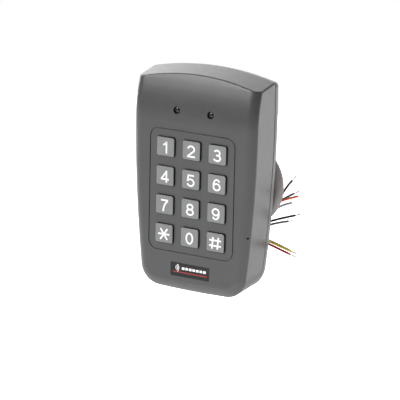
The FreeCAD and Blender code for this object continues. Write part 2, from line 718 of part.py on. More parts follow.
def lamp(side, sign):
    """Indicator: a light-emitting diode on the board and the light guide in front of it."""
    x = f"{sign}Sizes.lamp_offset"
    z = "Sizes.lamp_height"
    foot = rod(f"led_{side}_foot", "3.8", "1", x, "Sizes.board_front", z)
    stem = rod(f"led_{side}_stem", "3", "1.6", x, "Sizes.board_front", z)
    dome = doc.addObject("Part::Sphere", f"led_{side}_dome")
    dome.Radius = 1.5
    dome.setExpression("Placement.Base.x", x)
    dome.setExpression("Placement.Base.y", "-Sizes.board_front - 1.6")
    dome.setExpression("Placement.Base.z", z)
    keep(fused(f"led_{side}_body", [foot, stem, dome]), f"led_{side}")
    guide = rod(f"guide_{side}_stem", "Sizes.lamp_hole - 0.2", "2.0", x, "21.4", z)
    collar = rod(f"guide_{side}_collar", "4.8", "0.4", x, "21.4", z)
    keep(fused(f"guide_{side}", [guide, collar]), f"light_guide_{side}")


def antenna_coil():
    """Rectangular winding of enamelled wire behind the board."""
    body = new_body("antenna_coil")
    sketch = new_sketch(body, "12.4")
    add_rectangle(sketch, "50", "56", "6", "0", "Sizes.pad_height - 4")
    add_rectangle(sketch, "44", "50", "3", "0", "Sizes.pad_height - 4")
    pad(body, sketch, "3.9")
    return keep(body, "antenna_coil")


def board_components():
    """What is soldered to the rear of the board."""
    back = "Sizes.board_back"
    keep(box("controller_chip", "10", "1.4", "10", "-6", f"{back} - 1.4", "2"), "controller_chip")
    keep(box("radio_chip", "5.2", "1.5", "6.2", "11", f"{back} - 1.5", "-14"), "radio_chip")
    keep(rod("buzzer", "12", "7.5", "12", f"{back} - 7.5", "4"), "buzzer")
    keep(box("cable_header", "25", "4.5", "4", "0", f"{back} - 4.5", "Sizes.cable_height"), "cable_header")
    keep(rod("capacitor", "6.3", "5.4", "-16", f"{back} - 5.4", "-26"), "capacitor")
    keep(box("crystal", "4.6", "1.6", "10.6", "-6", f"{back} - 1.6", "-14"), "crystal")
    sensor = box("tamper_case", "5", "4", "4.4", "-22", f"{back} - 4", "24")
    eye = rod("tamper_eye", "2.4", "1.5", "-22", f"{back} - 5.5", "24")
    keep(fused("tamper_sensor", [sensor, eye]), "tamper_sensor")
    chips = [box(f"resistor_{row}_{column}", "1.6", "0.6", "0.8", str(2 + 3 * column),
                 f"{back} - 0.6", str(-24 - 3 * row)) for row in range(3) for column in range(4)]
    keep(grouped("resistors", chips), "resistors")


def screw_group(name, label, spots, head, head_tall, seat, shank, length):
    """Identical pan-head screws driven from the rear; 'seat' is under the head."""
    screws = []
    for index, (x, z) in enumerate(spots):
        cap = rod(f"{name}_head_{index}", head, head_tall, x, f"{seat} - {head_tall}", z)
        stem = rod(f"{name}_stem_{index}", shank, length, x, f"{seat}", z)
        slot = box(f"{name}_slot_{index}", "0.6", "0.5", f"{head} * 0.7", x, f"{seat} - {head_tall}", z)
        cross = box(f"{name}_cross_{index}", f"{head} * 0.7", "0.5", "0.6", x, f"{seat} - {head_tall}", z)
        cut = doc.addObject("Part::Cut", f"{name}_cut_{index}")
        cut.Base = fused(f"{name}_blank_{index}", [cap, stem])
        cut.Tool = fused(f"{name}_drive_{index}", [slot, cross])
        screws.append(cut)
    return keep(grouped(label, screws), label)


def both_sides(spots):
    return [(f"{sign}{x}", z) for x, z in spots for sign in ("", "-")]


def locking_screw():
    """Tamper-proof screw that locks the reader to the plate from below."""
    head = doc.addObject("Part::Cylinder", "locking_head")
    stem = doc.addObject("Part::Cylinder", "locking_stem")
    socket = doc.addObject("Part::Prism", "locking_socket")
    for thing, radius, length, start in ((head, 2.9, 1.8, -60.9), (stem, 1.45, 6.4, -59.2)):
        thing.Radius = radius
        thing.Height = length
        thing.Placement = FreeCAD.Placement(V(0, -size("Sizes.lock_depth"), start), FreeCAD.Rotation())
    socket.Polygon = 6
    socket.Circumradius = 1.2
    socket.Height = 1.2
    socket.Placement = FreeCAD.Placement(V(0, -size("Sizes.lock_depth"), -60.95), FreeCAD.Rotation())
    cut = doc.addObject("Part::Cut", "locking_cut")
    cut.Base = fused("locking_blank", [head, stem])
    cut.Tool = socket
    return keep(cut, "locking_screw")


def badge():
    body = new_body("badge")
    sketch = new_sketch(body, "Sizes.panel_depth - Sizes.badge_deep + 0.05")
    add_rectangle(sketch, "Sizes.badge_width", "Sizes.badge_tall", "0.5", "0", "Sizes.badge_height")
    pad(body, sketch, "Sizes.badge_deep - 0.05")
    return keep(body, "badge")


def cable_gland():
    """Rubber grommet in the rear cover, flanged on both sides."""
    z = "Sizes.cable_height"
    barrel = rod("gland_barrel", "8.8", "4.9", "0", "2.6", z)
    outer = rod("gland_outer", "11.4", "1.4", "0", "2.6", z)
    inner = rod("gland_inner", "11.4", "1.2", "0", "6.5", z)
    bore = rod("gland_bore", "Sizes.cable + 0.4", "8", "0", "1", z)
    cut = doc.addObject("Part::Cut", "gland_cut")
    cut.Base = fused("gland_blank", [barrel, outer, inner])
    cut.Tool = bore
    return keep(cut, "cable_gland")


# ---------------------------------------------------------------- cable

def tube_path(points):
    """Straight runs joined by tangent arcs; returns the wire and the smallest radius."""
    edges, radii, start = [], [], points[0]
    for before, here, after in zip(points, points[1:], points[2:]):
        arrive, leave = (here - before).normalize(), (after - here).normalize()
        turn = arrive.getAngle(leave)
        reach = 0.45 * min((here - before).Length, (after - here).Length)
        radius = reach / math.tan(turn / 2)
        inward = (leave - arrive).normalize()
        first, last = here - arrive * reach, here + leave * reach
        middle = here + inward * (radius / math.cos(turn / 2) - radius)
        edges += [Part.LineSegment(start, first).toShape(), Part.Arc(first, middle, last).toShape()]
        radii.append(radius)
        start = last
    edges.append(Part.LineSegment(start, points[-1]).toShape())
    return Part.Wire(edges), min(radii)


def tube(label, points, diameter):
    """Round solid along a route, checked against its section times its length."""
    route = [V(*point) for point in points]
    path, tightest = tube_path(route)
    ring = Part.makeCircle(diameter / 2, route[0], route[1] - route[0])
    solid = path.makePipeShell([Part.Wire(ring)], True, False)
    expected = math.pi * diameter ** 2 / 4 * path.Length
    print(f"{label}: length {path.Length:.1f}, tightest radius {tightest:.1f}, "
          f"volume {solid.Volume / expected:.3f} of expected")
    feature = doc.addObject("Part::Feature", label)
    feature.Shape = solid
    return keep(feature, label)


# Route of the jacketed cable from inside the housing to the coil.
LEAD = [(0, -8.5, 27), (0.2, 1.0, 27.1), (-0.6, 10.8, 26.2), (-3.2, 20.0, 21.9), (-7.6, 25.6, 14.2),
        (-13.4, 26.0, 5.0)]

# Route of the loose front turn, from the coil round to the end of the jacket.
LOOP = [(3.5, 11.9, -26.8), (12.5, 10.8, -26.4), (21.5, 8.4, -24.2), (29.8, 6.2, -19.2),
        (35.3, 5.3, -11.6), (36.9, 5.2, -2.6), (34.4, 5.2, 6.6), (28.2, 5.3, 13.4), (19.2, 5.4, 16.8),
        (9.4, 5.4, 16.4), (0.4, 5.5, 12.2), (-5.8, 5.5, 4.4), (-8.4, 5.4, -5.2), (-7.2, 5.3, -15.0),
        (-2.2, 5.3, -23.6), (5.6, 5.3, -29.2), (12.0, 5.3, -30.9)]

# Routes of the conductors from the end of the jacket: each starts at its own place in the jacket.
CORES = {
    "core_brown": [(12.9, 6.05, -29.3), (18.2, 7.8, -29.7), (25.4, 11.6, -26.4), (31.8, 13.0, -15.6),
                   (36.0, 12.4, -5.9), (40.9, 12.0, -0.2)],
    "core_green": [(12.7, 7.1, -30.3), (18.0, 9.6, -30.6), (25.6, 13.0, -27.2), (31.4, 14.4, -18.2),
                   (35.6, 13.0, -11.6), (42.1, 12.4, -7.3)],
    "core_orange": [(12.3, 7.1, -31.7), (18.2, 8.4, -32.2), (25.4, 9.8, -28.2), (31.0, 10.4, -17.6),
                    (36.9, 9.8, -10.9), (46.1, 9.6, -7.6)],
    "core_drain": [(12.5, 5.3, -31.0), (18.4, 6.2, -31.6), (26.6, 7.8, -27.4), (32.4, 9.6, -20.6),
                   (37.0, 10.5, -14.3), (42.1, 10.5, -12.0)],
    "core_black": [(12.9, 4.55, -29.3), (18.4, 5.0, -29.8), (25.6, 6.2, -26.0), (33.6, 7.0, -21.9),
                   (46.2, 7.0, -17.6)],
    "core_grey": [(12.7, 3.5, -30.3), (18.4, 3.4, -30.9), (25.4, 4.6, -28.2), (32.9, 6.6, -24.0),
                  (42.0, 7.2, -21.6)],
    "core_slate": [(12.1, 6.05, -32.8), (18.0, 7.4, -34.0), (25.0, 8.0, -33.4), (33.4, 8.0, -35.0),
                   (43.5, 8.0, -38.0)],
    "core_yellow": [(12.3, 3.5, -31.7), (18.2, 4.2, -32.9), (25.0, 5.6, -32.7), (33.6, 6.2, -35.0),
                    (44.6, 6.2, -37.7)],
    "core_red": [(12.1, 4.55, -32.8), (17.8, 5.2, -34.9), (25.2, 6.0, -34.3), (34.0, 6.0, -36.6),
                 (44.2, 6.0, -39.4)],
}
BARE = {"core_brown": 4.0, "core_green": 4.5, "core_black": 3.5, "core_grey": 3.0,
        "core_slate": 4.0, "core_red": 4.0, "core_yellow": 2.6}


def cable():
    tube("cable_lead", LEAD, size("Sizes.cable"))
    tube("cable_loop", LOOP, size("Sizes.cable"))
    turns = []
    for grow in ("+", "-"):
        turns.append(rod(f"coil_ring_{len(turns)}", f"2 * Sizes.coil_arc {grow} Sizes.cable",
                         "Sizes.coil_near - Sizes.coil_far", "Sizes.coil_x", "Sizes.coil_far",
                         "Sizes.coil_z"))
    coil = doc.addObject("Part::Cut", "coil_ring")
    coil.Base, coil.Tool = turns
    keep(coil, "cable_coil")
    for name, route in CORES.items():
        tube(name, route, size("Sizes.core"))
    tips = []
    for name, length in BARE.items():
        near, end = V(*CORES[name][-2]), V(*CORES[name][-1])
        tips.append(Part.makeCylinder(size("Sizes.tip") / 2, length, end, end - near))
    bare = doc.addObject("Part::Feature", "bare_tips")
    bare.Shape = Part.makeCompound(tips)
    keep(bare, "bare_tips")


def inner_leads():
    """Nine short conductors from the stripped cable end to the header on the board."""
    start, end = size("9.0"), size("Sizes.board_back - 4.5")
    height = size("Sizes.cable_height")
    leads = []
    for index in range(-4, 5):
        lift = 0.7 if index % 2 else -0.7
        near = V(0.52 * index, -start, height + lift)
        far = V(2.5 * index, -end, height + lift)
        leads.append(Part.makeCylinder(0.5, (far - near).Length - 1.4, near, far - near))
    feature = doc.addObject("Part::Feature", "inner_leads")
    feature.Shape = Part.makeCompound(leads)
    return keep(feature, "inner_leads")


# ---------------------------------------------------------------- assembly

front_cover()
mounting_plate()
rear_cover()
gasket()
for number, name in enumerate(KEYS):
    key(name, number % 3, number // 3)
key_mat()
circuit_board()
lamp("left", "-")
lamp("right", "")
antenna_coil()
board_components()
screw_group("cover_screw", "cover_screws", both_sides(BOSSES), "5", "1.0", "5.25", "2.5", "10")
screw_group("board_screw", "board_screws", both_sides(STANDOFFS), "4", "1.3", "Sizes.board_back", "2.2", "5")
locking_screw()
badge()
cable_gland()
cable()
inner_leads()
doc.recompute()

for thing in doc.Objects:
    if "Invalid" in thing.State or "Error" in thing.State:
        raise RuntimeError(f"{thing.Label}: {thing.State}")
for label, part in parts.items():
    if part.Shape.isNull() or not part.Shape.isValid():
        raise RuntimeError(f"{label}: null or invalid shape")

os.makedirs("parts", exist_ok=True)
for label, part in parts.items():
    part.Shape.exportStep(f"parts/{label}.step")
print(f"{len(parts)} sub-parts written")
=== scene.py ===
import math

import bmesh
import bpy
from mathutils import Matrix, Vector


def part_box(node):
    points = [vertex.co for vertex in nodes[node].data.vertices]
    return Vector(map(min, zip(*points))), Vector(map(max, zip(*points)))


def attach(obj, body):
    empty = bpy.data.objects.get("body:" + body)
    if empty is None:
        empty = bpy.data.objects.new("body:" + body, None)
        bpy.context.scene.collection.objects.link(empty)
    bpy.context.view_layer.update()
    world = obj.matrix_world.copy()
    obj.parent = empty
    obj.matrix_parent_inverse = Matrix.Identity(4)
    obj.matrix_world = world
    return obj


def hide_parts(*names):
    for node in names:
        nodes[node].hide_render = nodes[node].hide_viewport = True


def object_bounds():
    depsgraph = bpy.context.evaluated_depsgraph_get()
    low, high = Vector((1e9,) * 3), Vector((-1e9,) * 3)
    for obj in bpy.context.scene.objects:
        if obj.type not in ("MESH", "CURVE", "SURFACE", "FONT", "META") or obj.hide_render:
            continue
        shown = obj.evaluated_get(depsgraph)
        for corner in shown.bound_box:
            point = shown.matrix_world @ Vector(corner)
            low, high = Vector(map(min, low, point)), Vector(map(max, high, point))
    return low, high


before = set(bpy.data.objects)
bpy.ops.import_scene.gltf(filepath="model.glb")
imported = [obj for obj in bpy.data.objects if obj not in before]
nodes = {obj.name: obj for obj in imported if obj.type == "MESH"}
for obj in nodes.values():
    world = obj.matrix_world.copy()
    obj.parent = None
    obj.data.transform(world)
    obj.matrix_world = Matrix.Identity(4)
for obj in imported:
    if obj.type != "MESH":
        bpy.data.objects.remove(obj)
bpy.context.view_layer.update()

MM = 0.001
BODY = "housing"
KEYS = ("1", "2", "3", "4", "5", "6", "7", "8", "9", "star", "0", "hash")
scene = bpy.context.scene


# ---------------------------------------------------------------- camera

def add_camera():
    """Camera in front, to the right and slightly above, as in a catalogue picture."""
    azimuth, elevation, roll = (math.radians(a) for a in (30.319, 14.917, 1.279))
    back = Vector((math.sin(azimuth) * math.cos(elevation),
                   -math.cos(azimuth) * math.cos(elevation), math.sin(elevation)))
    level = Vector((0, 0, 1)).cross(back).normalized()
    upright = back.cross(level)
    right = math.cos(roll) * level + math.sin(roll) * upright
    up = math.cos(roll) * upright - math.sin(roll) * level
    key_pad = (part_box("key_5")[0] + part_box("key_8")[1]) / 2
    key_pad.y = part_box("key_5")[0].y
    place = key_pad + (5.2 * right - 2.9 * up + 1523.05 * back) * MM
    camera = bpy.data.objects.new("camera", bpy.data.cameras.new("camera"))
    camera.data.sensor_width = 36
    camera.data.lens = 257.0
    camera.data.clip_start = 0.05
    axes = Matrix((right, up, back)).transposed().to_4x4()
    camera.matrix_world = Matrix.Translation(place) @ axes
    scene.collection.objects.link(camera)
    scene.camera = camera


add_camera()


# ---------------------------------------------------------------- materials

def shader(name, rough, metallic=0.0, coat=0.0, specular=0.5):
    """New material with a Principled shader; returns the material, its tree and the shader."""
    material = bpy.data.materials.new(name)
    material.use_nodes = True
    tree = material.node_tree
    principled = tree.nodes["Principled BSDF"]
    principled.inputs["Metallic"].default_value = metallic
    principled.inputs["Roughness"].default_value = rough
    principled.inputs["Coat Weight"].default_value = coat
    principled.inputs["Specular IOR Level"].default_value = specular
    return material, tree, principled


def noise(tree, scale, detail=3.0, stretch=None):
    """Noise in the object's own space, in features per millimetre."""
    place = tree.nodes.new("ShaderNodeTexCoord")
    texture = tree.nodes.new("ShaderNodeTexNoise")
    texture.inputs["Scale"].default_value = scale / MM
    texture.inputs["Detail"].default_value = detail
    if stretch:
        mapping = tree.nodes.new("ShaderNodeMapping")
        mapping.inputs["Scale"].default_value = stretch
        tree.links.new(place.outputs["Object"], mapping.inputs["Vector"])
        tree.links.new(mapping.outputs["Vector"], texture.inputs["Vector"])
    else:
        tree.links.new(place.outputs["Object"], texture.inputs["Vector"])
    return texture.outputs["Fac"]


def ramp(tree, factor, low, high, first, second):
    node = tree.nodes.new("ShaderNodeValToRGB")
    node.color_ramp.elements[0].position = low
    node.color_ramp.elements[1].position = high
    node.color_ramp.elements[0].color = (*first, 1)
    node.color_ramp.elements[1].color = (*second, 1)
    tree.links.new(factor, node.inputs["Fac"])
    return node.outputs["Color"]


def spread(tree, factor, low, high):
    node = tree.nodes.new("ShaderNodeMapRange")
    node.inputs["To Min"].default_value = low
    node.inputs["To Max"].default_value = high
    tree.links.new(factor, node.inputs["Value"])
    return node.outputs["Result"]


def bump(tree, principled, height, strength, depth):
    node = tree.nodes.new("ShaderNodeBump")
    node.inputs["Strength"].default_value = strength
    node.inputs["Distance"].default_value = depth * MM
    tree.links.new(height, node.inputs["Height"])
    tree.links.new(node.outputs["Normal"], principled.inputs["Normal"])


def tinted(color, amount):
    return tuple(min(1.0, channel * amount) for channel in color)


def moulded(name, color, rough=0.5, grain=2.4, relief=0.02, coat=0.0, drift=0.05, specular=0.5):
    """Moulded plastic or rubber: spark-eroded grain, faint flow marks and uneven sheen."""
    material, tree, principled = shader(name, rough, coat=coat, specular=specular)
    flow = noise(tree, 0.045, 4.0)
    color_out = ramp(tree, flow, 0.3, 0.7, tinted(color, 1 - drift), tinted(color, 1 + drift))
    tree.links.new(color_out, principled.inputs["Base Color"])
    sheen = spread(tree, noise(tree, 0.3, 2.0), rough - 0.05, rough + 0.06)
    tree.links.new(sheen, principled.inputs["Roughness"])
    bump(tree, principled, noise(tree, grain, 2.0), 0.35, relief)
    return material


def key_rubber(name, face, flank_shade, rough=0.42):
    """Key cap: pale face, with painted shade on the flanks below its rounded edge, both finely grained."""
    material, tree, principled = shader(name, rough)
    place = tree.nodes.new("ShaderNodeTexCoord")
    split = tree.nodes.new("ShaderNodeSeparateXYZ")
    tree.links.new(place.outputs["Object"], split.inputs["Vector"])
    # Painted shade: behind the face, by depth along Y, the cap takes the dark flank colour in place of the
    # shade that falls on its sides.
    depth = tree.nodes.new("ShaderNodeMapRange")
    depth.interpolation_type = "SMOOTHSTEP"
    depth.inputs["From Min"].default_value = -25.95 * MM
    depth.inputs["From Max"].default_value = -25.55 * MM
    tree.links.new(split.outputs["Y"], depth.inputs["Value"])
    uneven = ramp(tree, noise(tree, 0.05, 3.0), 0.3, 0.7, tinted(face, 0.96), tinted(face, 1.04))
    blend = tree.nodes.new("ShaderNodeMix")
    blend.data_type = "RGBA"
    color_in = [socket for socket in blend.inputs if socket.type == "RGBA"]
    tree.links.new(depth.outputs["Result"], blend.inputs["Factor"])
    tree.links.new(uneven, color_in[0])
    color_in[1].default_value = (*flank_shade, 1)
    color_out = next(socket for socket in blend.outputs if socket.type == "RGBA")
    tree.links.new(color_out, principled.inputs["Base Color"])
    sheen = spread(tree, noise(tree, 0.3, 2.0), rough - 0.05, rough + 0.06)
    tree.links.new(sheen, principled.inputs["Roughness"])
    bump(tree, principled, noise(tree, 2.4, 2.0), 0.35, 0.01)
    return material


def metal(name, color, rough=0.3, stretch=(1, 1, 1), drift=0.1):
    """Metal with fine scratches and a slightly uneven finish."""
    material, tree, principled = shader(name, rough, metallic=1.0)
    marks = noise(tree, 1.5, 5.0, stretch)
    color_out = ramp(tree, marks, 0.25, 0.75, tinted(color, 1 - drift), tinted(color, 1 + drift))
    tree.links.new(color_out, principled.inputs["Base Color"])
    tree.links.new(spread(tree, marks, rough - 0.08, rough + 0.12), principled.inputs["Roughness"])
    bump(tree, principled, marks, 0.25, 0.01)
    return material


def grey(level, warm=0.0):
    """Linear colour of an sRGB grey level from 0 to 1, a little warm or cool."""
    linear = ((level + 0.055) / 1.055) ** 2.4 if level > 0.04 else level / 12.92
    return (linear * (1 + warm), linear, linear * (1 - warm))


COVER = moulded("cover_plastic", grey(0.283, -0.01), rough=0.35, grain=1.4,
               relief=0.03, specular=0.62)
PLATE = moulded("plate_plastic", grey(0.47, -0.01), rough=0.45)
REAR = moulded("rear_plastic", grey(0.33), rough=0.55)
# The second grey is painted shade for the key flanks, not a colour of the rubber.
KEY = key_rubber("key_rubber", grey(0.50, -0.01), grey(0.15))
INK = moulded("legend_ink", (0.88, 0.88, 0.88), rough=0.45, relief=0.004, drift=0.01)
RED_INK = moulded("red_ink", (0.42, 0.035, 0.03), rough=0.45, relief=0.004, drift=0.02)
BADGE = moulded("badge_inlay", grey(0.15), rough=0.45, relief=0.004, specular=0.3)
SEAL = moulded("seal_rubber", (0.018, 0.018, 0.02), rough=0.7)
LENS = moulded("lens_smoked", (0.01, 0.01, 0.011), rough=0.2, relief=0.002, specular=0.25)
GLASS = moulded("lens_dome", (0.012, 0.012, 0.013), rough=0.1, relief=0.001, drift=0.02)
LAMP = moulded("lamp_resin", (0.7, 0.7, 0.66), rough=0.3, relief=0.004)
JACKET = moulded("cable_jacket", (0.27, 0.25, 0.245), rough=0.48, grain=0.9, relief=0.05, drift=0.08)
BOARD = moulded("board_mask", (0.01, 0.09, 0.03), rough=0.35, coat=0.4)
CHIP = moulded("chip_case", (0.012, 0.012, 0.013), rough=0.6)
HEADER = moulded("header_nylon", (0.72, 0.7, 0.62), rough=0.5)
LEADS = moulded("lead_insulation", (0.08, 0.08, 0.09), rough=0.4)
COPPER = metal("coil_copper", (0.66, 0.3, 0.14), rough=0.35, stretch=(1, 12, 1))
STEEL = metal("screw_steel", (0.6, 0.6, 0.61), rough=0.32, stretch=(1, 1, 8))
CAN = metal("drawn_can", (0.62, 0.62, 0.63), rough=0.28)
TINNED = metal("tinned_strands", (0.78, 0.78, 0.76), rough=0.34)

CORE_COLORS = {
    "core_brown": (0.085, 0.035, 0.04),
    "core_green": (0.045, 0.06, 0.062),
    "core_orange": (0.95, 0.17, 0.06),
    "core_drain": (0.42, 0.44, 0.46),
    "core_black": (0.004, 0.004, 0.004),
    "core_grey": (0.17, 0.17, 0.18),
    "core_slate": (0.20, 0.20, 0.23),
    "core_yellow": (1.0, 0.80, 0.10),
    "core_red": (0.62, 0.022, 0.05),
}
CORES = {name: moulded(name, color, rough=0.38, grain=1.5, relief=0.01, coat=0.15)
         for name, color in CORE_COLORS.items()}

NODE_MATERIALS = {
    "front_cover": COVER, "mounting_plate": PLATE, "rear_cover": REAR, "gasket": SEAL,
    "key_mat": SEAL, "cable_gland": SEAL, "badge": BADGE, "circuit_board": BOARD,
    "led_left": LAMP, "led_right": LAMP, "light_guide_left": LENS, "light_guide_right": LENS,
    "antenna_coil": COPPER, "controller_chip": CHIP, "radio_chip": CHIP, "buzzer": CHIP,
    "tamper_sensor": CHIP, "resistors": CHIP, "cable_header": HEADER, "capacitor": CAN,
    "crystal": CAN, "cover_screws": STEEL, "board_screws": STEEL, "locking_screw": STEEL,
    "inner_leads": LEADS,
}
NODE_MATERIALS.update({f"key_{name}": KEY for name in KEYS})


def paint_nodes():
    """Give every CAD node that stays visible its finished material."""
    for name, material in NODE_MATERIALS.items():
        mesh = nodes[name].data
        mesh.materials.clear()
        mesh.materials.append(material)


paint_nodes()


# ---------------------------------------------------------------- mesh helpers

def piece(name, mesh, material, body=BODY):
    item = bpy.data.objects.new(name, mesh)
    scene.collection.objects.link(item)
    mesh.materials.clear()
    mesh.materials.append(material)
    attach(item, body)
    return item


def sweep(work, path, radius, sides=8, taper=1.0):
    """Add a closed round tube along a list of points to a bmesh."""
    rings, normal = [], None
    for index, point in enumerate(path):
        ahead = path[min(index + 1, len(path) - 1)] - path[max(index - 1, 0)]
        ahead.normalize()
        if normal is None:
            normal = ahead.orthogonal().normalized()
        normal = (normal - ahead * normal.dot(ahead)).normalized()
        across = ahead.cross(normal)
        size = radius * (1 + (taper - 1) * index / (len(path) - 1))
        ring = []
        for step in range(sides):
            angle = 2 * math.pi * step / sides
            ring.append(work.verts.new(point + (normal * math.cos(angle) + across * math.sin(angle)) * size))
        rings.append(ring)
    for one, other in zip(rings, rings[1:]):
        for step in range(sides):
            after = (step + 1) % sides
            face = work.faces.new((one[step], one[after], other[after], other[step]))
            face.smooth = True
    work.faces.new(reversed(rings[0]))
    work.faces.new(rings[-1])


# ---------------------------------------------------------------- cable and conductors

CABLE = 5.8
CORE = 1.25

# The same routes as the tubes of the CAD model, in millimetres.
LEAD = [(0, -8.5, 27), (0.2, 1.0, 27.1), (-0.6, 10.8, 26.2), (-3.2, 20.0, 21.9), (-7.6, 25.6, 14.2),
        (-13.4, 26.0, 5.0)]
LOOP = [(3.5, 11.9, -26.8), (12.5, 10.8, -26.4), (21.5, 8.4, -24.2), (29.8, 6.2, -19.2),
        (35.3, 5.3, -11.6), (36.9, 5.2, -2.6), (34.4, 5.2, 6.6), (28.2, 5.3, 13.4), (19.2, 5.4, 16.8),
        (9.4, 5.4, 16.4), (0.4, 5.5, 12.2), (-5.8, 5.5, 4.4), (-8.4, 5.4, -5.2), (-7.2, 5.3, -15.0),
        (-2.2, 5.3, -23.6), (5.6, 5.3, -29.2), (12.0, 5.3, -30.9)]
CORE_ROUTES = {
    "core_brown": [(12.9, 6.05, -29.3), (18.2, 7.8, -29.7), (25.4, 11.6, -26.4), (31.8, 13.0, -15.6),
                   (36.0, 12.4, -5.9), (40.9, 12.0, -0.2)],
    "core_green": [(12.7, 7.1, -30.3), (18.0, 9.6, -30.6), (24.6, 13.0, -26.2), (28.3, 14.4, -17.0),
                   (35.0, 13.0, -11.4), (42.1, 12.4, -7.3)],
    "core_orange": [(12.3, 7.1, -31.7), (18.2, 8.4, -32.2), (24.6, 9.8, -27.2), (28.6, 10.4, -16.4),
                    (36.6, 9.8, -11.0), (46.1, 9.6, -7.6)],
    "core_drain": [(12.5, 5.3, -31.0), (18.4, 6.2, -31.6), (25.4, 7.8, -26.4), (29.4, 9.6, -19.4),
                   (36.2, 10.5, -14.0), (42.1, 10.5, -12.0)],
    "core_black": [(12.9, 4.55, -29.3), (18.4, 5.0, -29.8), (25.6, 6.2, -26.0), (33.6, 7.0, -21.9),
                   (46.2, 7.0, -17.6)],
    "core_grey": [(12.7, 3.5, -30.3), (18.4, 3.4, -30.9), (25.4, 4.6, -28.2), (32.9, 6.6, -24.0),
                  (42.0, 7.2, -21.6)],
    "core_slate": [(12.1, 6.05, -32.8), (18.0, 7.4, -34.0), (25.0, 8.0, -33.4), (33.4, 8.0, -35.0),
                   (43.5, 8.0, -38.0)],
    "core_yellow": [(12.3, 3.5, -31.7), (18.2, 4.2, -32.9), (25.0, 5.6, -32.7), (33.6, 6.2, -35.0),
                    (44.6, 6.2, -37.7)],
    "core_red": [(12.1, 4.55, -32.8), (17.8, 5.2, -34.9), (25.2, 6.0, -34.3), (34.0, 6.0, -36.6),
                 (44.2, 6.0, -39.4)],
}
BARE = {"core_brown": 4.0, "core_green": 4.5, "core_black": 3.5, "core_grey": 3.0,
        "core_slate": 4.0, "core_red": 4.0, "core_yellow": 2.6}


def coil_points(first, last):
    """Control points of the wound turns, between the lead and the loose front turn."""
    low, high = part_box("cable_coil")
    middle = (low + high) / 2 / MM
    steps = 28
    begin = math.atan2(first[2] - middle.z, first[0] - middle.x)
    end = math.atan2(last[2] - middle.z, last[0] - middle.x) + 6 * math.pi
    points = []
    for step in range(1, steps):
        angle = begin + (end - begin) * step / steps
        radius = 20.1 - 0.15 * math.sin(2.3 * angle)
        depth = first[1] + (last[1] - first[1]) * step / steps
        points.append((middle.x + radius * math.cos(angle), depth, middle.z + radius * math.sin(angle)))
    return points


def smooth_line(name, points, diameter, material):
    """Round cord on a NURBS spline whose control points are the route's points."""
    curve = bpy.data.curves.new(name, "CURVE")
    curve.dimensions = "3D"
    curve.bevel_depth = diameter / 2 * MM
    curve.bevel_resolution = 5
    curve.resolution_u = 8
    curve.use_fill_caps = True
    spline = curve.splines.new("NURBS")
    spline.points.add(len(points) - 1)
    for control, point in zip(spline.points, points):
        control.co = (*(Vector(point) * MM), 1)
    spline.order_u = 3
    spline.use_endpoint_u = True
    curve.materials.append(material)
    item = bpy.data.objects.new(name, curve)
    scene.collection.objects.link(item)
    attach(item, BODY)
    return item


def add_cable():
    cable = smooth_line("pigtail_cable", LEAD + coil_points(LEAD[-1], LOOP[0]) + LOOP, CABLE,
                        JACKET)
    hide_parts("cable_lead", "cable_coil", "cable_loop")


def add_cores():
    for name, route in CORE_ROUTES.items():
        core = smooth_line(f"{name}_wire", route, CORE, CORES[name])
        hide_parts(name)


def add_bare_tips():
    """Tinned strands at the stripped ends: seven thin wires twisted about each other."""
    work = bmesh.new()
    for order, (name, length) in enumerate(BARE.items()):
        end, near = Vector(CORE_ROUTES[name][-1]), Vector(CORE_ROUTES[name][-2])
        ahead = (end - near).normalized()
        side = ahead.orthogonal().normalized()
        other = ahead.cross(side)
        for strand in range(7):
            path = []
            for step in range(9):
                along = step / 8
                reach = 0.0 if strand == 6 else 0.22 + 0.16 * along * along
                turn = 2 * math.pi * strand / 6 + 4.2 * along + order
                offset = (side * math.cos(turn) + other * math.sin(turn)) * reach
                path.append((end + ahead * (length * along - 0.3) + offset) * MM)
            sweep(work, path, 0.115 * MM, sides=6)
    mesh = bpy.data.meshes.new("tinned_ends")
    work.to_mesh(mesh)
    work.free()
    tips = piece("tinned_ends", mesh, TINNED)
    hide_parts("bare_tips")


add_cable()
add_cores()
add_bare_tips()


# ---------------------------------------------------------------- legends and badge

STROKE = 0.95         # width of a printed line, in millimetres
INK_THICK = 0.03


def bow(x, z, across, tall, start, end):
    """Points of an elliptical arc about (x, z), angles in degrees."""
    steps = max(4, round(abs(end - start) / 9))
    angles = [math.radians(start + (end - start) * step / steps) for step in range(steps + 1)]
    return [(x + across * math.cos(angle), z + tall * math.sin(angle)) for angle in angles]


